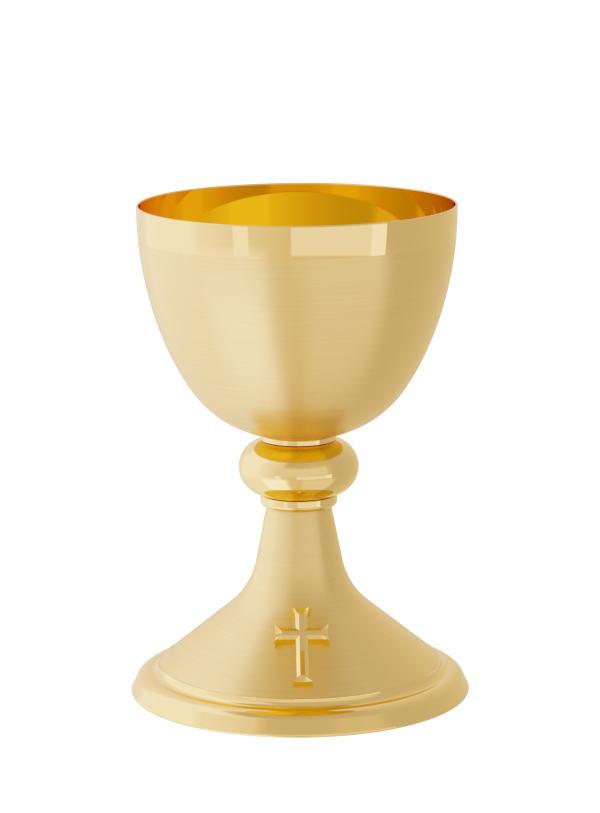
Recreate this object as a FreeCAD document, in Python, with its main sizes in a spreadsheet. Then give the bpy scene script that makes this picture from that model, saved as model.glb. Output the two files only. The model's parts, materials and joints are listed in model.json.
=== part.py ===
import FreeCAD, Part
import math
import operator
import os
import Sketcher

# A communion chalice: a spun cup on a turned stem with a knop, a spun foot with a turned
# rim and an applied cross. One threaded rod inside the stem pulls every piece together.
# Millimetres. +Z is up, the origin is the centre of the circle that the foot rests on,
# and the cross faces -Y. Every round piece is turned about the Z axis.

SIZES = {
    # Cup: a thin bowl whose outside is three arcs that run smoothly into each other.
    # The arcs meet at the side and belly points, given as shares of the bowl's size.
    "cup_depth": 93.0,
    "rim_radius": 63.95,
    "lip_height": 0.9,
    "lip_round": 0.5,
    "cup_wall": 1.2,
    "side_radius_share": 0.850,
    "side_height_share": 0.432,
    "belly_radius_share": 0.680,
    "belly_height_share": 0.2054,
    # Boss: soldered under the cup, holds the top of the rod and centres the knop.
    "boss_flange_radius": 11.0,
    "boss_flange_thickness": 2.0,
    "boss_length": 9.0,
    "spigot_radius": 6.5,
    # Upper collar.
    "upper_collar_radius": 15.3,
    "upper_collar_height": 2.4,
    "collar_edge_round": 0.45,
    # Knop: two spun halves, flat in the middle and round at the edge, over a sleeve.
    "knop_flat_radius": 13.0,
    "knop_height": 22.6,
    "knop_wall": 1.2,
    "sleeve_wall": 2.4,
    # Lower collar.
    "lower_collar_radius": 15.6,
    "lower_collar_height": 4.8,
    "lower_collar_round": 2.2,
    "lower_spigot_height": 3.0,
    # Foot: a straight neck and a straight cone joined by one sweep. The two straight
    # lines would meet at the flare corner.
    "foot_height": 77.2,
    "neck_radius": 13.1,
    "flare_corner_inset": 6.6,
    "flare_corner_height": 43.1,
    "flare_round": 33.5,
    "foot_wall": 1.2,
    # Ferrule: the plug soldered in the neck.
    "ferrule_height": 8.2,
    "ferrule_spigot_height": 1.8,
    # Foot rim, from the ridge down to the resting face.
    "base_radius": 69.0,
    "rim_reach": 11.9,
    "ridge_height": 12.5,
    "ridge_width": 0.45,
    "cove_radius": 3.4,
    "shoulder_round": 7.0,
    "crease_height": 6.6,
    "bevel_angle": 30.0,
    "base_edge_round": 2.0,
    "rest_width": 2.6,
    "rim_wall": 2.2,
    "rim_seat_margin": 1.0,
    # Tie rod and what it passes through or carries.
    "rod_radius": 3.0,
    "rod_tail": 3.5,
    "rod_end_gap": 0.5,
    "rod_chamfer": 0.5,
    "fit_clearance": 0.1,
    "rod_clearance": 0.3,
    "spreader_radius": 12.0,
    "spreader_thickness": 1.6,
    "lock_washer_radius": 5.4,
    "lock_washer_thickness": 1.4,
    "lock_washer_gap": 1.2,
    "nut_across_flats": 10.0,
    "nut_height": 5.0,
    "nut_chamfer_angle": 30.0,
    "nut_face_share": 0.95,
    # Cross: a cast Latin cross with flared ends, lying on the cone of the foot.
    "cross_ridge_gap": 5.9,
    "cross_upper_length": 12.5,
    "cross_lower_length": 23.8,
    "cross_arm_length": 10.75,
    "cross_bar_width": 4.95,
    "cross_tip_width": 7.7,
    "cross_flare_length": 2.4,
    "cross_flare_round": 3.0,
    "cross_end_round": 25.0,
    "cross_front_height": 3.3,
    "cross_blank_depth": 3.3,
    "cross_bevel_depth": 0.7,
    "cross_bevel_width": 1.55,
    # Studs that hold the cross, each with a washer and a nut inside the foot.
    "stud_radius": 1.0,
    "stud_socket_depth": 1.6,
    "stud_tail": 0.9,
    "stud_clearance": 0.1,
    "stud_upper_offset": 5.0,
    "stud_lower_offset": 15.0,
    "stud_washer_radius": 2.6,
    "stud_washer_thickness": 0.5,
    "stud_washer_stand_off": 0.12,
    "stud_nut_across_flats": 4.0,
    "stud_nut_height": 1.6,
}

OPERATORS = {"+": operator.add, "-": operator.sub, "*": operator.mul, "/": operator.truediv}
LEVEL = 1e-6


# --------------------------------------------------------- sizes tied to the sheet

class Size:
    """A length that carries its value and the spreadsheet expression that gives it."""

    def __init__(self, value, text):
        self.value = value
        self.text = text

    def joined(self, sign, other):
        other = as_size(other)
        value = OPERATORS[sign](self.value, other.value)
        return Size(value, "(%s %s %s)" % (self.text, sign, other.text))

    def __add__(self, other):
        return self.joined("+", other)

    def __sub__(self, other):
        return self.joined("-", other)

    def __mul__(self, other):
        return self.joined("*", other)

    def __truediv__(self, other):
        return self.joined("/", other)

    def __neg__(self):
        return self * -1


def as_size(number):
    if isinstance(number, Size):
        return number
    return Size(float(number), "(%r)" % float(number))


def size(name):
    return Size(SIZES[name], "sizes." + name)


def square_root(length):
    return Size(math.sqrt(length.value), "sqrt(%s)" % length.text)


def cosine(angle):
    return Size(math.cos(math.radians(angle.value)), "cos(%s)" % angle.text)


def tangent(angle):
    return Size(math.tan(math.radians(angle.value)), "tan(%s)" % angle.text)


ZERO = as_size(0)

# Heights up the stem, each worked out from the piece below it.
FOOT_TOP = size("foot_height")
KNOP_BOTTOM = FOOT_TOP + size("lower_collar_height")
KNOP_MIDDLE = KNOP_BOTTOM + size("knop_height") / 2
KNOP_TOP = KNOP_BOTTOM + size("knop_height")
CUP_SEAT = KNOP_TOP + size("upper_collar_height")
RIM = CUP_SEAT + size("cup_depth")

# Heights down inside the stem.
BOSS_BOTTOM = CUP_SEAT - size("boss_length")
BOSS_FLANGE_BOTTOM = CUP_SEAT - size("boss_flange_thickness")
FERRULE_BOTTOM = FOOT_TOP - size("ferrule_height")
SPREADER_BOTTOM = FERRULE_BOTTOM - size("spreader_thickness")
LOCK_WASHER_BOTTOM = SPREADER_BOTTOM - size("lock_washer_thickness")
NUT_BOTTOM = LOCK_WASHER_BOTTOM - size("nut_height")
ROD_BOTTOM = NUT_BOTTOM - size("rod_tail")

SPIGOT_BORE = size("spigot_radius") + size("fit_clearance")
ROD_BORE = size("rod_radius") + size("rod_clearance")

# The neck widens downwards by NECK_TAPER for each millimetre of height, and the cone of
# the foot by CONE_TAPER. A slant is the length of sloping line for each millimetre.
FLARE_CORNER = size("neck_radius") + size("flare_corner_inset")
CONE_RADIUS = size("base_radius") - size("rim_reach")
CONE_HEIGHT = size("flare_corner_height") - size("ridge_height")
NECK_TAPER = size("flare_corner_inset") / (FOOT_TOP - size("flare_corner_height"))
CONE_TAPER = (CONE_RADIUS - FLARE_CORNER) / CONE_HEIGHT
NECK_SLANT = square_root(NECK_TAPER * NECK_TAPER + 1)
CONE_SLANT = square_root(CONE_TAPER * CONE_TAPER + 1)


# ---------------------------------------------------------------- outlines in sketches

def step(kind, across, up, radius=None):
    return {"kind": kind, "point": (as_size(across), as_size(up)), "radius": radius}


def line_to(across, up):
    return step("line", across, up)


def arc_to(across, up, radius):
    """An arc that bulges to the right of the way it runs; to the left if negative."""
    return step("arc", across, up, radius)


def smooth_to(across, up):
    """An arc that leaves in the direction the last stretch ended in."""
    return step("smooth", across, up)


def rounded_line_to(across, up, radius):
    """A line towards a corner that is rounded off before the next line."""
    return step("rounded", across, up, radius)


def left_of(direction):
    return FreeCAD.Vector(-direction.y, direction.x, 0)


def centre_from_radius(start, end, radius):
    """Centre of the arc from start to end with a radius signed as in arc_to."""
    chord = end - start
    rise = math.sqrt(max(radius ** 2 - chord.Length ** 2 / 4, 0))
    return (start + end) / 2 + left_of(chord).normalize() * math.copysign(rise, radius)


def centre_from_heading(start, end, heading):
    """Centre of the arc from start to end that leaves start along heading."""
    left = left_of(heading)
    chord = end - start
    return start + left * (chord.dot(chord) / (2 * chord.dot(left)))


class Outline:
    """Draws a closed outline in a sketch and ties its points and radii to the sheet."""

    def __init__(self, sketch, steps):
        self.sketch = sketch
        self.steps = steps
        self.points = [FreeCAD.Vector(*[axis.value for axis in step["point"]])
                       for step in steps]
        self.pieces = []
        self.place = self.points[-1]
        self.heading = None
        self.corner = None

    def tie(self, *constraint):
        return self.sketch.addConstraint(Sketcher.Constraint(*constraint))

    def tie_size(self, kind, *where, size):
        index = self.tie(kind, *where, abs(size.value) if kind == "Radius" else size.value)
        text = size.text if kind != "Radius" or size.value > 0 else (-size).text
        self.sketch.setExpression("Constraints[%d]" % index, text)

    def hold_point(self, piece, end, point):
        """Hold one end of a piece at its place; a coordinate of zero is on an axis."""
        for kind, axis, length in (("DistanceX", -2, point[0]), ("DistanceY", -1, point[1])):
            if length is ZERO:
                self.tie("PointOnObject", piece, end, axis)
            else:
                self.tie_size(kind, -1, 1, piece, end, size=length)

    def add(self, shape, first, last, smooth):
        """Add a piece and join its first end to the last end of the piece before it."""
        piece = self.sketch.addGeometry(shape, False)
        if self.pieces:
            before, _, its_end = self.pieces[-1]
            self.tie("Tangent" if smooth else "Coincident", before, its_end, piece, first)
        self.pieces.append((piece, first, last))
        return piece

    def add_line(self, end):
        """A line from the current place, which touches the rounding of a corner before it."""
        line = self.add(Part.LineSegment(self.place, end), 1, 2, self.corner is not None)
        if self.corner is not None:
            self.tie("PointOnObject", self.corner, 1, line)
            self.corner = None
        self.heading = (end - self.place).normalize()
        self.place = end
        return line

    def add_arc(self, end, centre, smooth):
        """An arc of a circle; sketches keep arcs anticlockwise, so its ends may swap."""
        first = self.place - centre
        last = end - centre
        turns_left = first.cross(last).z > 0
        angles = [math.atan2(spoke.y, spoke.x) for spoke in (first, last)]
        circle = Part.Circle(centre, FreeCAD.Vector(0, 0, 1), last.Length)
        ends = (1, 2)
        if not turns_left:
            angles.reverse()
            ends = (2, 1)
        arc = self.add(Part.ArcOfCircle(circle, *angles), *ends, smooth)
        self.heading = left_of(last).normalize() * (1 if turns_left else -1)
        self.place = end
        return arc

    def add_rounded_corner(self, index):
        """A line and the rounding after it; the sharp corner stays as a held point."""
        step = self.steps[index]
        corner = self.points[index]
        after = self.points[(index + 1) % len(self.points)]
        back = (self.place - corner).normalize()
        ahead = (after - corner).normalize()
        half_angle = back.getAngle(ahead) / 2
        radius = step["radius"].value
        reach = radius / math.tan(half_angle)
        centre = corner + (back + ahead).normalize() * (radius / math.sin(half_angle))
        line = self.add_line(corner + back * reach)
        arc = self.add_arc(corner + ahead * reach, centre, True)
        self.tie_size("Radius", arc, size=step["radius"])
        self.corner = self.sketch.addGeometry(Part.Point(corner), True)
        self.hold_point(self.corner, 1, step["point"])
        self.tie("PointOnObject", self.corner, 1, line)

    def draw(self):
        for index, step in enumerate(self.steps):
            end = self.points[index]
            if step["kind"] == "rounded":
                self.add_rounded_corner(index)
                continue
            if step["kind"] == "line":
                piece = self.add_line(end)
            elif step["kind"] == "arc":
                centre = centre_from_radius(self.place, end, step["radius"].value)
                piece = self.add_arc(end, centre, False)
                self.tie_size("Radius", piece, size=step["radius"])
            else:
                centre = centre_from_heading(self.place, end, self.heading)
                piece = self.add_arc(end, centre, True)
            self.hold_point(piece, self.pieces[-1][2], step["point"])
        first_piece, its_start, _ = self.pieces[0]
        last_piece, _, its_end = self.pieces[-1]
        self.tie("Coincident", last_piece, its_end, first_piece, its_start)


# ------------------------------------------------------------------ kinds of piece

def new_sketch(body, name, role, steps):
    """A sketch on one of the body's own origin planes, holding a closed outline."""
    sketch = body.newObject("Sketcher::SketchObject", name)
    plane = [item for item in body.Origin.OriginFeatures if item.Role == role][0]
    sketch.AttachmentSupport = [(plane, "")]
    sketch.MapMode = "FlatFace"
    Outline(sketch, steps).draw()
    return sketch


def turned_body(doc, name, steps):
    """A body turned about Z from an outline of (radius, height) steps."""
    body = doc.addObject("PartDesign::Body", name)
    sketch = new_sketch(body, name + "_outline", "XZ_Plane", steps)
    turning = body.newObject("PartDesign::Revolution", name + "_turning")
    turning.Profile = sketch
    turning.ReferenceAxis = (sketch, ["V_Axis"])
    turning.Angle = 360
    doc.recompute()
    return body


def turned_ring(doc, name, bore, outer, bottom, top):
    return turned_body(doc, name, [
        line_to(outer, bottom),
        line_to(outer, top),
        line_to(bore, top),
        line_to(bore, bottom),
    ])


def level_elements(kind, elements, height):
    """Names of the faces or edges that lie flat at a height, as Face1, Face2 and so on."""
    names = []
    for number, element in enumerate(elements, 1):
        box = element.BoundBox
        if abs(box.ZMin - height) < LEVEL and abs(box.ZMax - height) < LEVEL:
            names.append(kind + str(number))
    return names


def shell_out(doc, body, wall, open_heights):
    """Leave only a wall of even thickness inside the outline, open at these heights."""
    solid = body.Tip
    faces = []
    for height in open_heights:
        faces += level_elements("Face", solid.Shape.Faces, height.value)
    shell = body.newObject("PartDesign::Thickness", body.Name + "_wall")
    shell.Base = (solid, faces)
    shell.setExpression("Value", wall.text)
    shell.Reversed = True
    doc.recompute()


def round_off(doc, body, height, radius):
    """Round the edges of a turned body that lie at a height."""
    base = body.Tip
    rounded = body.newObject("PartDesign::Fillet", body.Name + "_round")
    rounded.Base = (base, level_elements("Edge", base.Shape.Edges, height.value))
    rounded.setExpression("Radius", radius.text)
    doc.recompute()


def cut_away(doc, name, base, tools):
    """The base with every tool cut out of it."""
    result = base
    for number, tool in enumerate(tools, 1):
        cut = doc.addObject("Part::Cut", "%s_cut_%d" % (name, number))
        cut.Base = result
        cut.Tool = tool
        result = cut
    doc.recompute()
    return result


def primitive(doc, kind, name, **lengths):
    """A Part primitive whose properties are tied to the sheet."""
    solid = doc.addObject(kind, name)
    for prop, length in lengths.items():
        solid.setExpression(prop, length.text)
    return solid


def hexagon_nut(doc, name, across_flats, height, bore):
    """A hexagon nut standing on the origin, the corners of its lower face chamfered."""
    blank = primitive(doc, "Part::Prism", name + "_blank",
                      Circumradius=across_flats / square_root(as_size(3)), Height=height)
    blank.Polygon = 6
    face_radius = across_flats / 2 * size("nut_face_share")
    cone = primitive(doc, "Part::Cone", name + "_cone", Radius1=face_radius,
                     Radius2=face_radius + height / tangent(size("nut_chamfer_angle")),
                     Height=height)
    chamfered = doc.addObject("Part::Common", name + "_chamfered")
    chamfered.Base = blank
    chamfered.Tool = cone
    hole = primitive(doc, "Part::Cylinder", name + "_hole", Radius=bore, Height=height)
    return cut_away(doc, name, chamfered, [hole])


def group(doc, name, solids):
    """Identical loose pieces kept together under one name."""
    together = doc.addObject("Part::Compound", name + "_group")
    together.Links = solids
    doc.recompute()
    return together


# ------------------------------------------------------------------------ the cup

def make_cup_bowl(doc):
    rim_radius = size("rim_radius")
    depth = size("cup_depth")
    body = turned_body(doc, "cup_bowl", [
        line_to(rim_radius, RIM),
        line_to(rim_radius, RIM - size("lip_height")),
        smooth_to(rim_radius * size("side_radius_share"),
                  CUP_SEAT + depth * size("side_height_share")),
        smooth_to(rim_radius * size("belly_radius_share"),
                  CUP_SEAT + depth * size("belly_height_share")),
        smooth_to(size("upper_collar_radius"), CUP_SEAT),
        line_to(ZERO, CUP_SEAT),
        line_to(ZERO, RIM),
    ])
    shell_out(doc, body, size("cup_wall"), [RIM])
    round_off(doc, body, RIM, size("lip_round"))
    return body


def make_cup_boss(doc):
    thread_top = BOSS_FLANGE_BOTTOM + size("rod_end_gap")
    return turned_body(doc, "cup_boss", [
        line_to(size("spigot_radius"), BOSS_BOTTOM),
        line_to(size("spigot_radius"), BOSS_FLANGE_BOTTOM),
        line_to(size("boss_flange_radius"), BOSS_FLANGE_BOTTOM),
        line_to(size("boss_flange_radius"), CUP_SEAT),
        line_to(ZERO, CUP_SEAT),
        line_to(ZERO, thread_top),
        line_to(size("rod_radius"), thread_top),
        line_to(size("rod_radius"), BOSS_BOTTOM),
    ])


# ----------------------------------------------------------------------- the stem

def make_upper_collar(doc):
    bore = size("boss_flange_radius") + size("fit_clearance")
    body = turned_ring(doc, "upper_collar", bore, size("upper_collar_radius"),
                       KNOP_TOP, CUP_SEAT)
    round_off(doc, body, CUP_SEAT, size("collar_edge_round"))
    return body


def make_knop_half(doc, name, facing):
    """One spun half of the knop, facing up with 1 or down with -1."""
    edge = size("knop_height") / 2
    wall = size("knop_wall")
    flat_radius = size("knop_flat_radius")
    flat = KNOP_MIDDLE + edge * facing
    inner_flat = KNOP_MIDDLE + (edge - wall) * facing
    return turned_body(doc, name, [
        line_to(SPIGOT_BORE, flat),
        line_to(flat_radius, flat),
        arc_to(flat_radius + edge, KNOP_MIDDLE, edge * -facing),
        line_to(flat_radius + edge - wall, KNOP_MIDDLE),
        arc_to(flat_radius, inner_flat, (edge - wall) * facing),
        line_to(SPIGOT_BORE, inner_flat),
    ])


def make_knop_sleeve(doc):
    return turned_ring(doc, "knop_sleeve", SPIGOT_BORE, SPIGOT_BORE + size("sleeve_wall"),
                       KNOP_BOTTOM + size("knop_wall"), KNOP_TOP - size("knop_wall"))


def make_lower_collar(doc):
    outer = size("lower_collar_radius")
    ovolo = size("lower_collar_round")
    socket_top = FOOT_TOP + size("ferrule_spigot_height") + size("fit_clearance")
    spigot_top = KNOP_BOTTOM + size("lower_spigot_height")
    return turned_body(doc, "lower_collar", [
        line_to(outer - ovolo, FOOT_TOP),
        arc_to(outer, FOOT_TOP + ovolo, ovolo),
        line_to(outer, KNOP_BOTTOM),
        line_to(size("spigot_radius"), KNOP_BOTTOM),
        line_to(size("spigot_radius"), spigot_top),
        line_to(ROD_BORE, spigot_top),
        line_to(ROD_BORE, socket_top),
        line_to(SPIGOT_BORE, socket_top),
        line_to(SPIGOT_BORE, FOOT_TOP),
    ])


def make_tie_rod(doc):
    radius = size("rod_radius")
    chamfer = size("rod_chamfer")
    return turned_body(doc, "tie_rod", [
        line_to(ZERO, ROD_BOTTOM),
        line_to(radius - chamfer, ROD_BOTTOM),
        line_to(radius, ROD_BOTTOM + chamfer),
        line_to(radius, BOSS_FLANGE_BOTTOM - chamfer),
        line_to(radius - chamfer, BOSS_FLANGE_BOTTOM),
        line_to(ZERO, BOSS_FLANGE_BOTTOM),
    ])


def make_spreader_washer(doc):
    return turned_ring(doc, "spreader_washer", ROD_BORE, size("spreader_radius"),
                       SPREADER_BOTTOM, FERRULE_BOTTOM)


def make_lock_washer(doc):
    """A spring washer: a ring with a slot through one side."""
    ring = turned_ring(doc, "lock_washer_ring", size("rod_radius") + size("fit_clearance"),
                       size("lock_washer_radius"), LOCK_WASHER_BOTTOM, SPREADER_BOTTOM)
    slot = primitive(doc, "Part::Box", "lock_washer_slot",
                     Length=size("lock_washer_radius"), Width=size("lock_washer_gap"),
                     Height=size("lock_washer_thickness"))
    slot.setExpression("Placement.Base.y", (size("lock_washer_gap") / -2).text)
    slot.setExpression("Placement.Base.z", LOCK_WASHER_BOTTOM.text)
    return cut_away(doc, "lock_washer", ring, [slot])


def make_rod_nut(doc):
    nut = hexagon_nut(doc, "rod_nut", size("nut_across_flats"), size("nut_height"),
                      size("rod_radius"))
    nut.setExpression("Placement.Base.z", NUT_BOTTOM.text)
    return nut


# ----------------------------------------------------------------------- the foot

def foot_form(doc, name):
    """The solid shape of the foot's outside, from the ridge up to the neck."""
    return turned_body(doc, name, [
        line_to(ZERO, FOOT_TOP),
        line_to(size("neck_radius"), FOOT_TOP),
        rounded_line_to(FLARE_CORNER, size("flare_corner_height"), size("flare_round")),
        line_to(CONE_RADIUS, size("ridge_height")),
        line_to(ZERO, size("ridge_height")),
    ])


def make_foot_shell(doc):
    body = foot_form(doc, "foot_spinning")
    shell_out(doc, body, size("foot_wall"), [FOOT_TOP, size("ridge_height")])
    holes = stud_cylinders(doc, "stud_hole", size("stud_radius") + size("stud_clearance"),
                           size("foot_wall") * -2, size("cross_front_height"))
    return cut_away(doc, "foot_shell", body, holes)


def make_neck_ferrule(doc):
    """A plug with the taper of the neck's inside, and a spigot for the lower collar."""
    top_radius = size("neck_radius") - size("foot_wall") * NECK_SLANT
    bottom_radius = top_radius + size("ferrule_height") * NECK_TAPER
    spigot_top = FOOT_TOP + size("ferrule_spigot_height")
    return turned_body(doc, "neck_ferrule", [
        line_to(bottom_radius, FERRULE_BOTTOM),
        line_to(top_radius, FOOT_TOP),
        line_to(size("spigot_radius"), FOOT_TOP),
        line_to(size("spigot_radius"), spigot_top),
        line_to(ROD_BORE, spigot_top),
        line_to(ROD_BORE, FERRULE_BOTTOM),
    ])


def make_foot_rim(doc):
    """The turned rim: ridge, cove, shoulder, bevel and a narrow face to rest on."""
    bevel = size("bevel_angle")
    edge = size("base_edge_round")
    bevel_foot = size("base_radius") - edge + edge * tangent(bevel) + edge / cosine(bevel)
    crease_radius = bevel_foot - size("crease_height") * tangent(bevel)
    ridge_radius = CONE_RADIUS + size("ridge_width")
    cove_radius = ridge_radius + size("cove_radius")
    cove_height = size("ridge_height") - size("cove_radius")
    rest_inside = size("base_radius") - edge - size("rest_width")
    seat_inside = CONE_RADIUS - size("foot_wall") * CONE_SLANT - size("rim_seat_margin")
    under_cove = cove_height - size("rim_wall")
    return turned_body(doc, "foot_rim", [
        line_to(rest_inside, ZERO),
        rounded_line_to(bevel_foot, ZERO, edge),
        line_to(crease_radius, size("crease_height")),
        arc_to(cove_radius, cove_height, size("shoulder_round")),
        arc_to(ridge_radius, size("ridge_height"), -size("cove_radius")),
        line_to(seat_inside, size("ridge_height")),
        line_to(seat_inside, size("ridge_height") - size("rim_wall")),
        line_to(cove_radius, under_cove),
        line_to(rest_inside, under_cove - size("rim_wall")),
    ])


# ---------------------------------------------------------------------- the cross

# Directions in the upright plane through the front of the foot: DOWN_SLOPE runs down
# the cone, and OFF_SLOPE stands square to it, away from the metal.
DOWN_SLOPE = FreeCAD.Vector(0, -CONE_TAPER.value, -1).normalize()
OFF_SLOPE = FreeCAD.Vector(0, -1, CONE_TAPER.value).normalize()


def on_slope(distance_down, height):
    """A place on the front of the cone, measured down the slope from the cross's middle.

    X points across the foot, Y up the slope and Z away from the metal.
    """
    corner = FreeCAD.Vector(0, -FLARE_CORNER.value, SIZES["flare_corner_height"])
    slope_length = (CONE_HEIGHT * CONE_SLANT).value
    middle = slope_length - SIZES["cross_ridge_gap"] - SIZES["cross_lower_length"]
    place = corner + DOWN_SLOPE * (middle + distance_down) + OFF_SLOPE * height
    turn = FreeCAD.Rotation(FreeCAD.Vector(1, 0, 0), -DOWN_SLOPE, OFF_SLOPE, "ZXY")
    return FreeCAD.Placement(place, turn)


def stud_places(height):
    """Where the upper and the lower stud pass a height above the slope."""
    return [on_slope(-SIZES["stud_upper_offset"], height.value),
            on_slope(SIZES["stud_lower_offset"], height.value)]


def stud_cylinders(doc, name, radius, low, high):
    """A cylinder on the line of each stud, between two heights above the slope."""
    cylinders = []
    for number, place in enumerate(stud_places(low), 1):
        cylinder = primitive(doc, "Part::Cylinder", "%s_%d" % (name, number),
                             Radius=radius, Height=high - low)
        cylinder.Placement = place
        cylinders.append(cylinder)
    return cylinders


def cross_steps():
    """Outline of the cross, arm by arm: two flared corners and a hollow end on each."""
    half_bar = size("cross_bar_width") / 2
    half_tip = size("cross_tip_width") / 2
    flare = size("cross_flare_round")
    arms = (
        (size("cross_upper_length"), 0, 1),
        (size("cross_arm_length"), 1, 0),
        (size("cross_lower_length"), 0, -1),
        (size("cross_arm_length"), -1, 0),
    )
    steps = []
    for length, along_x, along_y in arms:
        neck = length - size("cross_flare_length")

        def place(along, aside):
            return along * along_x + aside * along_y, along * along_y - aside * along_x

        steps.append(line_to(*place(neck, -half_bar)))
        steps.append(arc_to(*place(length, -half_tip), flare))
        steps.append(arc_to(*place(length, half_tip), size("cross_end_round")))
        steps.append(arc_to(*place(neck, half_bar), flare))
        steps.append(line_to(*place(half_bar, half_bar)))
    return steps


def make_cross(doc):
    """The flat front of the cross is bevelled; its back is cut to fit the foot."""
    front = size("cross_front_height")
    depth = size("cross_blank_depth")
    body = doc.addObject("PartDesign::Body", "cross_blank")
    pad = body.newObject("PartDesign::Pad", "cross_plate")
    pad.Profile = new_sketch(body, "cross_outline", "XY_Plane", cross_steps())
    pad.setExpression("Length", (depth + front).text)
    doc.recompute()
    bevel = body.newObject("PartDesign::Chamfer", "cross_bevel")
    bevel.Base = (pad, level_elements("Face", pad.Shape.Faces, (depth + front).value))
    bevel.ChamferType = "Two distances"
    bevel.setExpression("Size", size("cross_bevel_depth").text)
    bevel.setExpression("Size2", size("cross_bevel_width").text)
    doc.recompute()
    body.Placement = on_slope(0, -depth.value)
    sockets = stud_cylinders(doc, "stud_socket", size("stud_radius"), -size("foot_wall"),
                             size("stud_socket_depth"))
    return cut_away(doc, "cross", body, [foot_form(doc, "cross_backing")] + sockets)


# Heights of the cross's fastenings, measured from the slope into the foot.
STUD_WASHER_TOP = -(size("foot_wall") + size("stud_washer_stand_off"))
STUD_NUT_TOP = STUD_WASHER_TOP - size("stud_washer_thickness")
STUD_NUT_BOTTOM = STUD_NUT_TOP - size("stud_nut_height")
STUD_END = STUD_NUT_BOTTOM - size("stud_tail")


def make_cross_studs(doc):
    return group(doc, "cross_studs", stud_cylinders(
        doc, "cross_stud", size("stud_radius"), STUD_END, size("stud_socket_depth")))


def make_cross_washers(doc):
    discs = stud_cylinders(doc, "washer_disc", size("stud_washer_radius"), STUD_NUT_TOP,
                           STUD_WASHER_TOP)
    holes = stud_cylinders(doc, "washer_hole", size("stud_radius"), STUD_NUT_TOP,
                           STUD_WASHER_TOP)
    washers = [cut_away(doc, disc.Name, disc, [hole]) for disc, hole in zip(discs, holes)]
    return group(doc, "cross_washers", washers)


def make_cross_nuts(doc):
    nuts = []
    for number, place in enumerate(stud_places(STUD_NUT_BOTTOM), 1):
        nut = hexagon_nut(doc, "stud_nut_%d" % number, size("stud_nut_across_flats"),
                          size("stud_nut_height"), size("stud_radius"))
        nut.Placement = place
        nuts.append(nut)
    return group(doc, "cross_nuts", nuts)


# ------------------------------------------------------------------- build and save

def make_sheet(doc):
    sheet = doc.addObject("Spreadsheet::Sheet", "sizes")
    for row, (name, value) in enumerate(SIZES.items(), 1):
        sheet.set("A%d" % row, name)
        sheet.set("B%d" % row, repr(value))
        sheet.setAlias("B%d" % row, name)
    doc.recompute()


def check_document(doc):
    """Stop if any object of the document failed to build."""
    for item in doc.Objects:
        if "Invalid" in item.State or "Error" in item.State:
            raise RuntimeError("%s did not build: %s" % (item.Name, item.State))


def save(name, piece):
    """Write one piece as parts/NAME.step."""
    piece.Label = name
    shape = piece.Shape
    if shape.isNull() or not shape.isValid() or not shape.Solids:
        raise RuntimeError(name + " is not a sound solid")
    print("%-18s %2d solids %10.1f mm3" % (name, len(shape.Solids), shape.Volume))
    shape.exportStep(os.path.join("parts", name + ".step"))


def main():
    doc = FreeCAD.newDocument("chalice")
    make_sheet(doc)
    pieces = {
        "cup_bowl": make_cup_bowl(doc),
        "cup_boss": make_cup_boss(doc),
        "upper_collar": make_upper_collar(doc),
        "knop_upper_half": make_knop_half(doc, "knop_upper_half", 1),
        "knop_lower_half": make_knop_half(doc, "knop_lower_half", -1),
        "knop_sleeve": make_knop_sleeve(doc),
        "lower_collar": make_lower_collar(doc),
        "tie_rod": make_tie_rod(doc),
        "spreader_washer": make_spreader_washer(doc),
        "lock_washer": make_lock_washer(doc),
        "rod_nut": make_rod_nut(doc),
        "neck_ferrule": make_neck_ferrule(doc),
        "foot_shell": make_foot_shell(doc),
        "foot_rim": make_foot_rim(doc),
        "cross": make_cross(doc),
        "cross_studs": make_cross_studs(doc),
        "cross_washers": make_cross_washers(doc),
        "cross_nuts": make_cross_nuts(doc),
    }
    doc.recompute()
    check_document(doc)
    os.makedirs("parts", exist_ok=True)
    for name, piece in pieces.items():
        save(name, piece)


main()
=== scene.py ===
import json
import math

import bmesh
import bpy
from mathutils import Matrix, Vector


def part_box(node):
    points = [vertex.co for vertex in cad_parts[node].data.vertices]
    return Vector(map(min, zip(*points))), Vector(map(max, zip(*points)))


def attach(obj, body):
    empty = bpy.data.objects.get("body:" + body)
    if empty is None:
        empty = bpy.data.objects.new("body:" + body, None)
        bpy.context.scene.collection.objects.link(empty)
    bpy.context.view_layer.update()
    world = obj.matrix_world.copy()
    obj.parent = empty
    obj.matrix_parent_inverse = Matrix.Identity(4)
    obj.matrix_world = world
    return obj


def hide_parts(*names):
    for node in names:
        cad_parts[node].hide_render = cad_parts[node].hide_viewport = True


# A communion chalice of gilded brass. The cup and the foot are spun shells, polished at
# the lip and inside and brushed on the lathe outside. The knop, the collars, the rim of
# the foot and the cross are polished all over. Outlines, as (radius, height), and the
# sizes of pieces are in millimetres; meshes, the camera and textures are in metres. The
# cross faces -Y.

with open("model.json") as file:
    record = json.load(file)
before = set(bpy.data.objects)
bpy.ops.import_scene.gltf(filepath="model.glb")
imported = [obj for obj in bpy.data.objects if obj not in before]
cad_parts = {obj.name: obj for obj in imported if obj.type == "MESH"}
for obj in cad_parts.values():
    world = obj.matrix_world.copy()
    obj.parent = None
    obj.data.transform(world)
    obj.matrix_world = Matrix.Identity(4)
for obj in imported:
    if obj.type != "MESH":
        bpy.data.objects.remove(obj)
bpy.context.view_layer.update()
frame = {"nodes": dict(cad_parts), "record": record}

MM = 0.001


def low_and_high(node):
    """The lowest and highest corner of a CAD node, in millimetres."""
    low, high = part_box(node)
    return low / MM, high / MM


# ------------------------------------------------------------------------ outlines

SEGMENTS = 192
RING_GAP = 3.0
RING_TURN = math.radians(4)
CORNER_STEPS = 4
STRAIGHT = 1e-7


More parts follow.
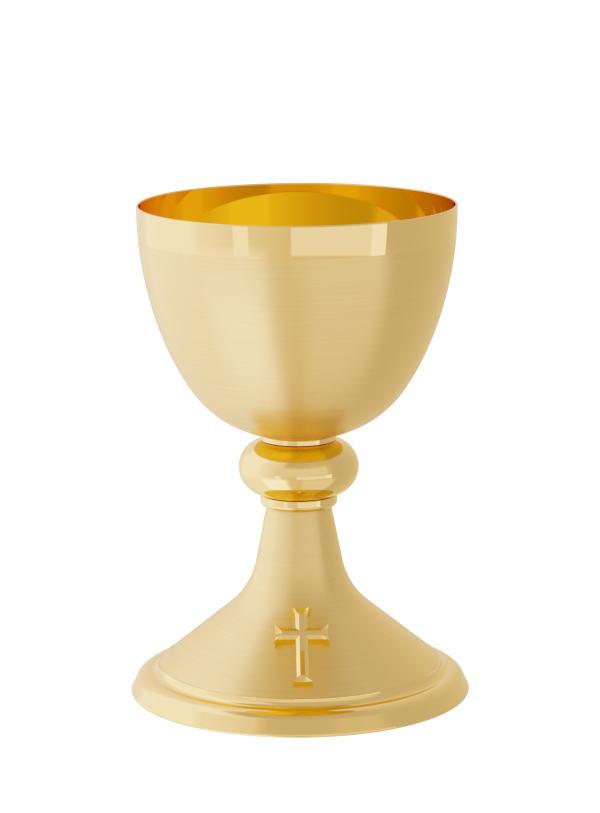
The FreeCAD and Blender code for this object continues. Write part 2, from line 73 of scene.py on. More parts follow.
class Stretch:
    """A straight or round stretch of an outline, which turns left by turn on its way."""

    def __init__(self, start, end, turn):
        chord = end - start
        self.start = start
        self.turn = turn
        self.first_heading = math.atan2(chord.y, chord.x) - turn / 2
        self.length = chord.length / self.shortening(turn / 2)

    @staticmethod
    def shortening(half_turn):
        """How much shorter the chord is than the stretch itself."""
        return math.sin(half_turn) / half_turn if abs(half_turn) > STRAIGHT else 1.0

    def heading(self, distance):
        return self.first_heading + self.turn * distance / self.length

    def point(self, distance):
        half_turn = self.turn * distance / self.length / 2
        chord = distance * self.shortening(half_turn)
        heading = self.first_heading + half_turn
        return self.start + chord * Vector((math.cos(heading), math.sin(heading)))


class Outline:
    """A line in the (radius, height) half plane, with the metal on its left."""

    def __init__(self, radius, height):
        self.place = Vector((radius, height))
        self.stretches = []

    def add(self, radius, height, turn):
        end = Vector((radius, height))
        self.stretches.append(Stretch(self.place, end, turn))
        self.place = end
        return self

    def line_to(self, radius, height):
        return self.add(radius, height, 0.0)

    def arc_to(self, radius, height, round_radius):
        """An arc that turns left, or right if its radius is negative."""
        chord = (Vector((radius, height)) - self.place).length
        return self.add(radius, height, 2 * math.asin(chord / (2 * round_radius)))

    def smooth_to(self, radius, height):
        """An arc that leaves in the direction in which the last stretch ended."""
        last = self.stretches[-1]
        chord = Vector((radius, height)) - self.place
        half_turn = math.atan2(chord.y, chord.x) - last.heading(last.length)
        return self.add(radius, height, 2 * math.remainder(half_turn, math.tau))

    def round_to(self, corner, beyond, round_radius):
        """A line towards a corner, and a round there that ends heading for beyond."""
        corner = Vector(corner)
        back = (self.place - corner).normalized()
        ahead = (Vector(beyond) - corner).normalized()
        reach = round_radius / math.tan(back.angle(ahead) / 2)
        self.line_to(*(corner + back * reach))
        return self.smooth_to(*(corner + ahead * reach))

    def rings(self, softness=0.12, closed=True):
        """(radius, height, heading) along the outline, with its corners eased off."""
        rings = []
        count = len(self.stretches)
        for index, stretch in enumerate(self.stretches):
            before = self.stretches[index - 1]
            after = self.stretches[(index + 1) % count]
            first = self.is_corner(before, stretch) and (closed or index > 0)
            last = self.is_corner(stretch, after) and (closed or index < count - 1)
            ease = min(softness, stretch.length / 3)
            begin = ease if first else 0.0
            end = stretch.length - (ease if last else 0.0)
            steps = max(1, math.ceil((end - begin) / RING_GAP),
                        math.ceil(abs(stretch.turn) / RING_TURN))
            for step in range(steps + 1):
                distance = begin + (end - begin) * step / steps
                if step or first or not rings:
                    rings.append((*stretch.point(distance), stretch.heading(distance)))
            if last:
                rings += self.eased_corner(stretch, after, end, softness)
        return rings

    @staticmethod
    def is_corner(stretch, after):
        jump = after.first_heading - stretch.heading(stretch.length)
        return abs(math.remainder(jump, math.tau)) > math.radians(2)

    @staticmethod
    def eased_corner(stretch, after, end, softness):
        """Rings of a small curve between two stretches, without its two ends."""
        start = stretch.point(end)
        corner = after.start
        finish = after.point(min(softness, after.length / 3))
        rings = []
        for step in range(1, CORNER_STEPS):
            share = step / CORNER_STEPS
            near = start.lerp(corner, share)
            far = corner.lerp(finish, share)
            way = far - near
            rings.append((*near.lerp(far, share), math.atan2(way.y, way.x)))
        return rings


def offset(rings, distance):
    """The same line moved sideways to its left."""
    return [(radius - distance * math.sin(heading), height + distance * math.cos(heading),
             heading) for radius, height, heading in rings]


def turned_back(rings):
    """The same line run the other way."""
    return [(radius, height, heading + math.pi) for radius, height, heading in rings[::-1]]


# ---------------------------------------------------------------------- turned pieces

def turn(name, rings, closed=False):
    """A mesh turned about Z, with its exact normals. Rings at the axis become a point."""
    vertices = []
    normals = []
    starts = []
    for radius, height, heading in rings:
        starts.append(len(vertices))
        around = SEGMENTS if radius > STRAIGHT else 1
        for step in range(around):
            angle = math.tau * step / SEGMENTS
            spoke = Vector((math.cos(angle), math.sin(angle), 0))
            vertices.append(spoke * radius * MM + Vector((0, 0, height * MM)))
            outward = spoke * math.sin(heading) - Vector((0, 0, math.cos(heading)))
            normals.append(outward if around > 1 else Vector((0, 0, outward.z)).normalized())
    starts.append(len(vertices))
    faces = []
    rows = list(range(len(rings) - 1)) + ([len(rings) - 1] if closed else [])
    for row in rows:
        above = (row + 1) % len(rings)
        here = range(starts[row], starts[row + 1])
        there = range(starts[above], starts[above + 1])
        for step in range(SEGMENTS):
            corners = [here[step % len(here)], here[(step + 1) % len(here)],
                       there[(step + 1) % len(there)], there[step % len(there)]]
            faces.append(tuple(dict.fromkeys(corners)))
    mesh = bpy.data.meshes.new(name)
    mesh.from_pydata(vertices, [], faces)
    mesh.polygons.foreach_set("use_smooth", [True] * len(faces))
    mesh.normals_split_custom_set_from_vertices(normals)
    piece = bpy.data.objects.new(name, mesh)
    bpy.context.scene.collection.objects.link(piece)
    return piece


def place(piece, node, slot, *materials):
    """Let a piece stand for a CAD node, with its materials."""
    for material in materials:
        piece.data.materials.append(material)
    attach(piece, "root")
    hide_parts(node)
    return piece


# --------------------------------------------------------------------------- materials

# Gold's own colour, and painted reflection colours: a deeper gold painted where gold is seen
# mirrored in more gold, as inside the cup, and another painted for a mirror image of a mirror
# image.
GOLD = (0.95, 0.76, 0.38, 1)
PAINTED_REFLECTION_GOLD = (0.94, 0.63, 0.015, 1)
PAINTED_LATER_REFLECTION_GOLD = (0.95, 0.75, 0.30, 1)
ONE_BOUNCE = 1.5


class Shader:
    """Builds the node tree of one material or world."""

    def __init__(self, owner):
        owner.use_nodes = True
        self.tree = owner.node_tree
        self.tree.nodes.clear()

    def add(self, kind, inputs=None, **properties):
        node = self.tree.nodes.new("ShaderNode" + kind)
        for name, value in properties.items():
            setattr(node, name, value)
        for label, value in (inputs or {}).items():
            self.feed(value, node.inputs[label])
        return node

    def feed(self, value, socket):
        if isinstance(value, bpy.types.NodeSocket):
            self.tree.links.new(value, socket)
        else:
            socket.default_value = value

    def math(self, operation, *values):
        node = self.add("Math", operation=operation)
        for value, socket in zip(values, node.inputs):
            self.feed(value, socket)
        return node.outputs[0]

    def scaled(self, vector, scale):
        node = self.add("Mapping", {"Vector": vector, "Scale": scale})
        return node.outputs["Vector"]

    def noise(self, vector, scale, detail=2.0, roughness=0.5):
        node = self.add("TexNoise", {"Vector": vector, "Scale": scale, "Detail": detail,
                                     "Roughness": roughness})
        return node.outputs["Fac"]

    def between(self, factor, low, high, first=0.25, last=0.75):
        """A value that runs from low to high as the factor runs from first to last."""
        node = self.add("MapRange")
        for socket, value in zip(node.inputs, (factor, first, last, low, high)):
            self.feed(value, socket)
        return node.outputs["Result"]

    def mix(self, factor, first, second):
        node = self.add("Mix", data_type="RGBA")
        for name, value in (("Factor_Float", factor), ("A_Color", first), ("B_Color", second)):
            self.feed(value, next(s for s in node.inputs if s.identifier == name))
        return next(s for s in node.outputs if s.identifier == "Result_Color")

    def bump(self, height, distance):
        node = self.add("Bump", {"Distance": distance, "Height": height})
        return node.outputs["Normal"]


def gold_and_painted_reflections(shader, shade):
    """Gold darkened by a shade near 1, with a painted reflection colour: deeper gold where it
    is seen mirrored in gold.
    """
    path = shader.add("LightPath")
    # Painted reflection colour: gold seen in a reflection gets a deeper gold, and gold seen
    # after more than one bounce gets another colour.
    colour = shader.mix(path.outputs["Is Glossy Ray"], GOLD, PAINTED_REFLECTION_GOLD)
    later = shader.math("GREATER_THAN", path.outputs["Ray Depth"], ONE_BOUNCE)
    colour = shader.mix(later, colour, PAINTED_LATER_REFLECTION_GOLD)
    node = shader.add("VectorMath", {"Vector": colour, "Scale": shade}, operation="SCALE")
    return node.outputs["Vector"]


def finish_material(shader, surface):
    output = shader.add("OutputMaterial")
    shader.feed(surface.outputs["BSDF"], output.inputs["Surface"])


# Marks in the metal are noise with so many features a metre along X, Y and Z, and bumps
# have a height in metres.
PATCHES = 45.0
HAIRLINES = (60.0, 60.0, 2600.0)
HAIRLINE_SHADES = (0.985, 1.0)
BUFFED_ROUGHNESS = (0.012, 0.035)
BUFFED_WAVES = (30.0, 30.0, 12.0)
WAVE_BUMP = 0.00002

FINE_RINGS = (25.0, 25.0, 3200.0)
COARSE_RINGS = (14.0, 14.0, 900.0)
FINE_SHARE = 0.6
RING_SHADES = (0.95, 1.02)
RING_RANGE = (0.3, 0.7)
RING_BUMP = 0.000006
BRUSHED_ANISOTROPY = 0.85
BRUSHED_ROTATION = 0.25

TARNISH = 260.0
TARNISH_RANGE = (0.4, 0.75)
TARNISH_ROUGHNESS = 0.15
TOOL_MARKS = (200.0, 200.0, 5000.0)
TOOL_BUMP = 0.000012


def polished_gold():
    """Buffed gold: slightly uneven, with soft patches and hairline polishing marks."""
    material = bpy.data.materials.new("polished_gold")
    shader = Shader(material)
    where = shader.add("TexCoord").outputs["Object"]
    patches = shader.noise(where, PATCHES, detail=3.0)
    hairlines = shader.noise(shader.scaled(where, HAIRLINES), 1.0, detail=3.0)
    waves = shader.noise(shader.scaled(where, BUFFED_WAVES), 1.0, detail=0.0)
    normal = shader.bump(waves, WAVE_BUMP)
    surface = shader.add("BsdfPrincipled", {"Metallic": 1.0})
    shade = shader.between(hairlines, *HAIRLINE_SHADES)
    shader.feed(gold_and_painted_reflections(shader, shade), surface.inputs["Base Color"])
    shader.feed(shader.between(patches, *BUFFED_ROUGHNESS), surface.inputs["Roughness"])
    shader.feed(normal, surface.inputs["Normal"])
    finish_material(shader, surface)
    return material


def brushed_gold(name, smoothest, roughest):
    """Gold brushed on the lathe: fine rings around the piece that blur it up and down."""
    material = bpy.data.materials.new(name)
    shader = Shader(material)
    where = shader.add("TexCoord").outputs["Object"]
    fine = shader.noise(shader.scaled(where, FINE_RINGS), 1.0, detail=3.0)
    coarse = shader.noise(shader.scaled(where, COARSE_RINGS), 1.0, detail=2.0)
    rings = shader.math("ADD", shader.math("MULTIPLY", fine, FINE_SHARE),
                        shader.math("MULTIPLY", coarse, 1 - FINE_SHARE))
    surface = shader.add("BsdfPrincipled", {"Metallic": 1.0})
    shade = shader.between(rings, *RING_SHADES, *RING_RANGE)
    shader.feed(gold_and_painted_reflections(shader, shade), surface.inputs["Base Color"])
    shader.feed(shader.between(coarse, smoothest, roughest), surface.inputs["Roughness"])
    shader.feed(shader.bump(rings, RING_BUMP), surface.inputs["Normal"])
    surface.inputs["Anisotropic"].default_value = BRUSHED_ANISOTROPY
    surface.inputs["Anisotropic Rotation"].default_value = BRUSHED_ROTATION
    tangent = shader.add("Tangent", direction_type="RADIAL", axis="Z")
    shader.feed(tangent.outputs["Tangent"], surface.inputs["Tangent"])
    finish_material(shader, surface)
    return material


def worn_metal(name, colour, dark, roughness):
    """Plain turned metal of the hidden pieces, with tool marks and a little tarnish."""
    material = bpy.data.materials.new(name)
    shader = Shader(material)
    where = shader.add("TexCoord").outputs["Object"]
    tarnish = shader.noise(where, TARNISH, detail=5.0, roughness=0.6)
    marks = shader.noise(shader.scaled(where, TOOL_MARKS), 1.0, detail=2.0)
    surface = shader.add("BsdfPrincipled", {"Metallic": 1.0})
    mixed = shader.mix(shader.between(tarnish, 0.0, 1.0, *TARNISH_RANGE), colour, dark)
    shader.feed(mixed, surface.inputs["Base Color"])
    dullness = shader.between(tarnish, roughness, roughness + TARNISH_ROUGHNESS)
    shader.feed(dullness, surface.inputs["Roughness"])
    shader.feed(shader.bump(marks, TOOL_BUMP), surface.inputs["Normal"])
    finish_material(shader, surface)
    return material


# ------------------------------------------------------------------------------ pieces

CUP_WALL = 1.2
LIP_HEIGHT = 0.9
LIP_ROUND = 0.5
SIDE_POINT = (0.850, 0.432)
BELLY_POINT = (0.680, 0.2054)
SEAT_RADIUS = 15.3
SEAT_SOFTNESS = 0.3
LIP_BAND = 13.0
LIP_THINNING = 0.15
THINNING_DEPTH = 40.0


def cup_inside(outer, bottom, top):
    """The inside of the bowl, whose wall is a little thinner towards the lip."""
    points = []
    for ring in outer:
        share = max(0.0, 1 - (top - ring[1]) / THINNING_DEPTH)
        wall = CUP_WALL - LIP_THINNING * share ** 2
        radius, height, _ = offset([ring], -wall)[0]
        if height > bottom + CUP_WALL:
            points.append(Vector((radius, height)))
    points.append(Vector((0, bottom + CUP_WALL)))
    rings = []
    for index, point in enumerate(points):
        way = points[min(index + 1, len(points) - 1)] - points[max(index - 1, 0)]
        rings.append((point.x, point.y, math.atan2(way.y, way.x)))
    rings[-1] = (0, bottom + CUP_WALL, math.pi)
    return rings


def cup_bowl(polished, brushed):
    """The spun bowl: three smooth arcs from the lip to the flat seat under it."""
    low, high = low_and_high("cup_bowl")
    rim_radius = high.x
    depth = high.z - low.z
    outside = Outline(rim_radius, high.z - LIP_ROUND)
    outside.line_to(rim_radius, high.z - LIP_HEIGHT)
    for radius_share, height_share in (SIDE_POINT, BELLY_POINT):
        outside.smooth_to(rim_radius * radius_share, low.z + depth * height_share)
    outside.smooth_to(SEAT_RADIUS, low.z)
    outside.line_to(0, low.z)
    outer = outside.rings(SEAT_SOFTNESS, closed=False)
    inner = cup_inside(outer, low.z, high.z)
    lip = Outline(rim_radius, high.z - LIP_ROUND)
    lip.arc_to(rim_radius - LIP_ROUND, high.z, LIP_ROUND)
    inner_radius = rim_radius - CUP_WALL + LIP_THINNING
    lip.line_to(inner_radius + LIP_ROUND, high.z)
    lip.arc_to(inner_radius, high.z - LIP_ROUND, LIP_ROUND)
    rings = turned_back(outer) + lip.rings(closed=False)[1:-1] + inner
    piece = turn("cup_bowl_spun", rings)
    place(piece, "cup_bowl", "satin_gold", polished, brushed)
    band = (high.z - LIP_BAND) * MM
    for face in piece.data.polygons:
        outward = face.normal.x * face.center.x + face.normal.y * face.center.y > 0
        underneath = face.normal.z < -0.5
        if face.center.z < band and (outward or underneath):
            face.material_index = 1
    return piece


def upper_collar(polished):
    """A plain ring with a rounded upper edge."""
    low, high = low_and_high("upper_collar")
    inside = high.x - 3.0
    edge = 0.6
    ring = Outline(inside, low.z)
    ring.line_to(high.x, low.z)
    ring.line_to(high.x, high.z - edge)
    ring.arc_to(high.x - edge, high.z, edge)
    ring.line_to(inside, high.z)
    ring.line_to(inside, low.z)
    return place(turn("upper_collar_turned", ring.rings(), closed=True), "upper_collar",
                 "polished_gold", polished)


KNOP_FLAT = 13.0
KNOP_WALL = 1.2
SPIGOT_BORE = 6.6


def knop_half(node, facing, polished):
    """Half of the knop, facing up with 1 or down with -1: a flat and a quarter round."""
    low, high = low_and_high(node)
    middle = low.z if facing > 0 else high.z
    edge = high.z - low.z
    flat = middle + edge * facing
    outside = Outline(KNOP_FLAT + edge, middle)
    outside.arc_to(KNOP_FLAT, flat, edge * facing)
    outside.line_to(SPIGOT_BORE, flat)
    outside.line_to(SPIGOT_BORE, flat - KNOP_WALL * facing)
    outside.line_to(KNOP_FLAT, flat - KNOP_WALL * facing)
    outside.arc_to(KNOP_FLAT + edge - KNOP_WALL, middle, (KNOP_WALL - edge) * facing)
    rings = outside.rings(closed=False)
    if facing < 0:
        rings = turned_back(rings)
    return place(turn(node + "_spun", rings), node, "polished_gold", polished)


def lower_collar(polished):
    """A ring with a quarter-round lower edge."""
    low, high = low_and_high("lower_collar")
    knop_bottom, _ = low_and_high("knop_lower_half")
    outer = high.x
    inside = outer - 5.0
    quarter_round = 2.2
    softness = 0.35
    ring = Outline(inside, low.z)
    ring.line_to(outer - quarter_round, low.z)
    ring.arc_to(outer, low.z + quarter_round, quarter_round)
    ring.line_to(outer, knop_bottom.z)
    ring.line_to(inside, knop_bottom.z)
    ring.line_to(inside, low.z)
    return place(turn("lower_collar_turned", ring.rings(softness), closed=True),
                 "lower_collar", "polished_gold", polished)


FOOT_WALL = 1.2
NECK_RADIUS = 13.1
FLARE_CORNER = (19.7, 43.1)
FLARE_ROUND = 33.5


def foot_shell(brushed):
    """The spun foot: a tapered neck and a cone joined by one sweep."""
    low, high = low_and_high("foot_shell")
    outside = Outline(NECK_RADIUS, high.z)
    outside.round_to(FLARE_CORNER, (high.x, low.z), FLARE_ROUND)
    outside.line_to(high.x, low.z)
    outer = outside.rings(closed=False)
    inner = offset(outer, -FOOT_WALL)
    rings = turned_back(outer) + inner
    return place(turn("foot_shell_spun", rings, closed=True), "foot_shell", "satin_gold",
                 brushed)


def foot_rim(polished):
    """The turned rim: ridge, cove, shoulder, bevel and a narrow face to rest on."""
    low, high = low_and_high("foot_rim")
    _, cone_foot = low_and_high("foot_shell")
    bevel = math.radians(26)
    edge = 1.0
    crease_height = 6.6
    bevel_foot = high.x - edge + edge * math.tan(bevel) + edge / math.cos(bevel)
    crease_radius = bevel_foot - crease_height * math.tan(bevel)
    ridge_width = 0.45
    ridge_radius = cone_foot.x + ridge_width
    shoulder = 7.0
    cove = 3.4
    wall = 2.2
    rest_width = 2.6
    rest_inside = high.x - edge - rest_width
    seat_inside = 54.2
    under_cove = high.z - cove - wall
    rim = Outline(rest_inside, 0)
    rim.round_to((bevel_foot, 0), (crease_radius, crease_height), edge)
    rim.line_to(crease_radius, crease_height)
    rim.arc_to(ridge_radius + cove, high.z - cove, shoulder)
    rim.arc_to(ridge_radius, high.z, -cove)
    rim.line_to(seat_inside, high.z)
    rim.line_to(seat_inside, high.z - wall)
    rim.line_to(ridge_radius + cove, under_cove)
    rim.line_to(rest_inside, under_cove - wall)
    rim.line_to(rest_inside, 0)
    return place(turn("foot_rim_turned", rim.rings(), closed=True), "foot_rim",
                 "polished_gold", polished)


# The cross, with each arm's way across and down the cone and its length. The cone grows
# by its spread in radius for each unit of drop, and the crossing is so far down its slope.
CONE_SPREAD = 1.222
CROSS_MIDDLE = 19.6
DOWN_SLOPE = Vector((0, -CONE_SPREAD, -1)).normalized()
OFF_SLOPE = Vector((0, -1, CONE_SPREAD)).normalized()
CROSS_ARMS = (((0, -1), 11.5), ((0, 1), 23.15), ((-1, 0), 10.75), ((1, 0), 10.75))
BAR_HALF_WIDTH = 2.475
STRIP_HALF_WIDTH = 0.92
TIP_HALF_WIDTH = 3.85
STRIP_HEIGHT = 3.2
EDGE_HEIGHT = 2.5
TIP_HEIGHT = 3.7
END_HEIGHT = 2.5
END_HOLLOW = 0.3
HIP_LENGTH = 3.0
FLARE_LENGTH = 3.4
CURVE_STEPS = 6
UNDER_SKIN = 0.2
SOFT_EDGE = 0.14
SOFT_EDGE_STEPS = 3
SOFT_EDGE_ANGLE = math.radians(7.5)
MERGE_DISTANCE = 0.01
KNEE = 8.0
UPPER_LEAN = math.tan(math.radians(6.5))
LOWER_LEAN = math.tan(math.radians(2))


def cross_point(across, down, off):
    """A point, in metres, from millimetres across, down the slope and off it."""
    corner = Vector((0, -FLARE_CORNER[0], FLARE_CORNER[1]))
    sideways = Vector((across, 0, 0))
    return (corner + sideways + DOWN_SLOPE * (CROSS_MIDDLE + down) + OFF_SLOPE * off) * MM


def under_cross(across, down):
    """How far off the slope line a point just under the cone's surface is."""
    radius = FLARE_CORNER[0] - DOWN_SLOPE.y * (CROSS_MIDDLE + down)
    drop = radius - math.sqrt(radius ** 2 - across ** 2)
    return drop * OFF_SLOPE.y - UNDER_SKIN


def half_arm(length):
    """Half an arm of the cross: its top faces, and its edge from the crossing to the end.

    Points are (along the arm, to its side, off the slope)."""
    hip = (length - HIP_LENGTH, STRIP_HALF_WIDTH, STRIP_HEIGHT)
    side = []
    end = []
    for step in range(CURVE_STEPS + 1):
        share = step / CURVE_STEPS
        side.append((length - FLARE_LENGTH * (1 - share),
                     BAR_HALF_WIDTH + (TIP_HALF_WIDTH - BAR_HALF_WIDTH) * share ** 2,
                     EDGE_HEIGHT + (TIP_HEIGHT - EDGE_HEIGHT) * share ** 2))
        inward = 1 - share
        end.append((length - END_HOLLOW * (1 - inward ** 2), TIP_HALF_WIDTH * inward,
                    END_HEIGHT + (TIP_HEIGHT - END_HEIGHT) * inward ** 2))
    stations = [length - HIP_LENGTH]
    if length > 2 * KNEE:
        stations.insert(0, KNEE)
    middle = [(along, 0, STRIP_HEIGHT) for along in [0] + stations]
    strip = [(along, STRIP_HALF_WIDTH, STRIP_HEIGHT)
             for along in [STRIP_HALF_WIDTH] + stations]
    edge = [(along, BAR_HALF_WIDTH, EDGE_HEIGHT)
            for along in [BAR_HALF_WIDTH] + stations[:-1]] + [side[0]]
    faces = []
    for index in range(len(stations)):
        faces.append((middle[index], strip[index], strip[index + 1], middle[index + 1]))
        faces.append((strip[index], edge[index], edge[index + 1], strip[index + 1]))
    faces += [(hip, first, second) for first, second in zip(side, side[1:])]
    faces += [(hip, first, second) for first, second in zip(end, end[1:])]
    faces.append((hip, end[-1], middle[-1]))
    return faces, edge[:-1] + side + end[1:]


def on_slope(arm, side, along, aside):
    """How far across and down the slope a point of an arm is."""
    across, down = arm
    return across * along - down * aside * side, down * along + across * aside * side


def leaning(down, off):
    """The height off the slope line of a point on the cross.

    The cross is bent at its knee, and leans out from the slope above it and below it."""
    upper = max(0.0, KNEE - down) * UPPER_LEAN
    lower = max(0.0, down - KNEE) * LOWER_LEAN
    return off + upper + lower


def cross(polished):
    """A cross with a flat strip along each bar, sloping sides and fishtail ends."""
    shape = bmesh.new()
    for arm, length in CROSS_ARMS:
        for side in (-1, 1):
            faces, edge = half_arm(length)
            foot = []
            for along, aside, _ in [(0, 0, 0)] + edge:
                under = under_cross(*on_slope(arm, side, along, aside))
                foot.append((along, aside, under))
            for index in range(1, len(edge)):
                faces.append((edge[index - 1], edge[index], foot[index + 1], foot[index]))
            faces.append(foot)
            for face in faces:
                points = []
                for along, aside, off in face:
                    right, below = on_slope(arm, side, along, aside)
                    if off > 0:
                        off = leaning(below, off)
                    points.append(cross_point(right, below, off))
                shape.faces.new([shape.verts.new(point) for point in points])
    bmesh.ops.remove_doubles(shape, verts=shape.verts, dist=MERGE_DISTANCE * MM)
    bmesh.ops.recalc_face_normals(shape, faces=shape.faces)
    mesh = bpy.data.meshes.new("cross_cast")
    shape.to_mesh(mesh)
    shape.free()
    mesh.polygons.foreach_set("use_smooth", [True] * len(mesh.polygons))
    piece = bpy.data.objects.new("cross_cast", mesh)
    bpy.context.scene.collection.objects.link(piece)
    edges = piece.modifiers.new("soft_edges", "BEVEL")
    edges.width = SOFT_EDGE * MM
    edges.segments = SOFT_EDGE_STEPS
    edges.angle_limit = SOFT_EDGE_ANGLE
    edges.harden_normals = True
    return place(piece, "cross", "polished_gold", polished)


# ------------------------------------------------------------------- floor and light

FLOOR_REACH = 3.0
FLOOR_GRAIN = 90.0
FLOOR_GREYS = ((0.28, 0.28, 0.28, 1), (0.32, 0.32, 0.32, 1))
FLOOR_ROUGHNESS = 0.9
FLOOR_GLOW = 0.89


def floor():
    """A wide pale floor that the foot stands on. It glows, and gold doesn't mirror it."""
    mesh = bpy.data.meshes.new("floor")
    corners = [(x * FLOOR_REACH, y * FLOOR_REACH, 0)
               for x, y in ((-1, -1), (1, -1), (1, 1), (-1, 1))]
    mesh.from_pydata(corners, [], [(0, 1, 2, 3)])
    ground = bpy.data.objects.new("floor", mesh)
    bpy.context.scene.collection.objects.link(ground)
    material = bpy.data.materials.new("floor_paper")
    shader = Shader(material)
    where = shader.add("TexCoord").outputs["Object"]
    grain = shader.noise(where, FLOOR_GRAIN, detail=4.0)
    surface = shader.add("BsdfPrincipled", {"Roughness": FLOOR_ROUGHNESS})
    surface.inputs["Specular IOR Level"].default_value = 0.0
    shader.feed(shader.mix(grain, *FLOOR_GREYS), surface.inputs["Base Color"])
    surface.inputs["Emission Color"].default_value = (1, 1, 1, 1)
    surface.inputs["Emission Strength"].default_value = FLOOR_GLOW
    finish_material(shader, surface)
    mesh.materials.append(material)
    ground.visible_glossy = False
    return ground


# The tent is lit through its cloth from the left: its brightness half way round, how much
# that grows and falls round the object, and where it is brightest, in degrees round from
# the camera, positive to the right. It is cool where it is bright and warm where it is dim.
TENT_BRIGHTNESS = 0.755
TENT_SWING = 0.145
BRIGHT_SIDE = -105
WARM_LIGHT = (1.0, 0.87, 0.63, 1)
COOL_LIGHT = (1.0, 1.09, 1.40, 1)
WARM_BELOW = 0.74
COOL_ABOVE = 0.95

# Soft panels in the tent: the turn and the height at which each begins and ends, the width
# of its soft edge, all in degrees, and its brightness. A panel that runs past a half turn
# or past straight up or down has no edge there.
PANELS = {
    "left_wall": (-140, -80, -20, 60, 8, 0.93),
    "left_table": (-80, -25, -100, -18, 10, 0.97),
    "right_table": (5, 75, -100, -18, 10, 0.79),
    "front_wall": (-45, 60, -4, 30, 15, 0.80),
    "left_screen": (-47.5, -36, -17, -4, 0.8, 0.91),
    "front_screen": (-5.5, 53, -17, -4, 0.8, 0.86),
    "right_screen": (53, 65.5, -17, -4, 0.8, 0.92),
    "front_opening": (-30, 25, 31, 60, 12, 0.60),
    "roof": (-200, 200, 65, 100, 8, 0.58),
}


def panel_share(shader, turn, height, panel):
    """1 inside a panel of the tent and 0 outside it, with a soft edge."""
    left, right, bottom, top, softness, _ = panel
    share = 1.0
    for angle, first, last in ((turn, left, right), (height, bottom, top)):
        for edge, before, after in ((first, 0.0, 1.0), (last, 1.0, 0.0)):
            begin = math.radians(edge - softness / 2)
            end = math.radians(edge + softness / 2)
            inside = shader.between(angle, before, after, begin, end)
            share = shader.math("MULTIPLY", share, inside)
    return share


def tent_light():
    """A white tent all round, brighter to the left, seen as plain white by the camera."""
    world = bpy.data.worlds.new("tent")
    bpy.context.scene.world = world
    shader = Shader(world)
    direction = shader.add("TexCoord").outputs["Generated"]
    axes = shader.add("SeparateXYZ", {"Vector": direction}).outputs
    towards_camera = shader.math("MULTIPLY", axes["Y"], -1.0)
    turn = shader.math("ARCTAN2", axes["X"], towards_camera)
    height = shader.math("ARCSINE", axes["Z"])
    from_bright_side = shader.math("SUBTRACT", turn, math.radians(BRIGHT_SIDE))
    swing = shader.math("MULTIPLY", shader.math("COSINE", from_bright_side), TENT_SWING)
    level = shader.math("ADD", swing, TENT_BRIGHTNESS)
    for panel in PANELS.values():
        share = panel_share(shader, turn, height, panel)
        difference = shader.math("SUBTRACT", panel[-1], level)
        level = shader.math("ADD", level, shader.math("MULTIPLY", difference, share))
    coolness = shader.between(level, 0.0, 1.0, WARM_BELOW, COOL_ABOVE)
    colour = shader.mix(coolness, WARM_LIGHT, COOL_LIGHT)
    light = shader.add("Background", {"Color": colour, "Strength": level})
    backdrop = shader.add("Background", {"Color": (1, 1, 1, 1)})
    seen = shader.add("MixShader")
    shader.feed(shader.add("LightPath").outputs["Is Camera Ray"], seen.inputs[0])
    shader.feed(light.outputs[0], seen.inputs[1])
    shader.feed(backdrop.outputs[0], seen.inputs[2])
    output = shader.add("OutputWorld")
    shader.feed(seen.outputs[0], output.inputs["Surface"])
    return world


# The camera is a distance from the axis at its middle height, turned a little to the left
# of the cross, and aims a little to the right of the axis.
VIEW_DISTANCE = 1.3155
VIEW_ELEVATION = math.radians(12.108)
VIEW_TURN = math.radians(1.2)
VIEW_MIDDLE = 0.1
AIM_HEIGHT = 0.11773
AIM_RIGHT = 0.0007
VIEW_ROLL = math.radians(-0.395)
LENS = 144.41


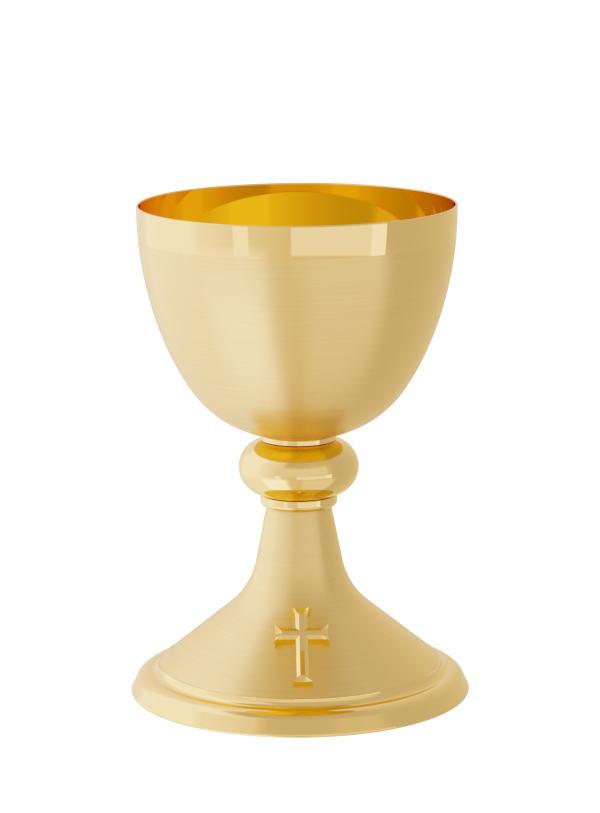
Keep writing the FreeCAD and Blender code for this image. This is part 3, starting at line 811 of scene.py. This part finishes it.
def camera():
    """A long lens in front of the cross, a little above it."""
    data = bpy.data.cameras.new("camera")
    data.lens = LENS
    viewer = bpy.data.objects.new("camera", data)
    bpy.context.scene.collection.objects.link(viewer)
    back = Vector((-math.sin(VIEW_TURN), -math.cos(VIEW_TURN), 0))
    right = Vector((math.cos(VIEW_TURN), -math.sin(VIEW_TURN), 0))
    viewpoint = back * VIEW_DISTANCE * math.cos(VIEW_ELEVATION)
    viewpoint.z = VIEW_MIDDLE + VIEW_DISTANCE * math.sin(VIEW_ELEVATION)
    aim = right * AIM_RIGHT + Vector((0, 0, AIM_HEIGHT))
    facing = (aim - viewpoint).to_track_quat("-Z", "Y").to_matrix()
    roll = Matrix.Rotation(VIEW_ROLL, 3, "Z")
    viewer.matrix_world = Matrix.Translation(viewpoint) @ (facing @ roll).to_4x4()
    bpy.context.scene.camera = viewer
    return viewer


# -------------------------------------------------------------------------- assembly

BOUNCES = 16
CUP_ROUGHNESS = (0.27, 0.35)
FOOT_ROUGHNESS = (0.30, 0.40)
BRASS = (0.80, 0.58, 0.28, 1)
DARK_BRASS = (0.45, 0.28, 0.12, 1)
BRASS_ROUGHNESS = 0.30
STEEL = (0.62, 0.62, 0.63, 1)
DARK_STEEL = (0.36, 0.35, 0.34, 1)
STEEL_ROUGHNESS = 0.28

camera()
floor()
tent_light()
bpy.context.scene.view_settings.view_transform = "Standard"
bpy.context.scene.cycles.max_bounces = BOUNCES
bpy.context.scene.cycles.glossy_bounces = BOUNCES

polished = polished_gold()
cup_finish = brushed_gold("brushed_gold", *CUP_ROUGHNESS)
foot_finish = brushed_gold("foot_brushed_gold", *FOOT_ROUGHNESS)
brass = worn_metal("raw_brass", BRASS, DARK_BRASS, BRASS_ROUGHNESS)
steel = worn_metal("steel", STEEL, DARK_STEEL, STEEL_ROUGHNESS)

cup_bowl(polished, cup_finish)
upper_collar(polished)
knop_half("knop_upper_half", 1, polished)
knop_half("knop_lower_half", -1, polished)
lower_collar(polished)
foot_shell(foot_finish)
foot_rim(polished)
cross(polished)

# The hidden pieces keep their CAD shape and take the finish of their slot.
FINISHES = {"raw_brass": brass, "steel": steel}
for row in frame["record"]["subparts"]:
    if row["material_slot"] in FINISHES:
        mesh = frame["nodes"][row["node"]].data
        mesh.materials.clear()
        mesh.materials.append(FINISHES[row["material_slot"]])
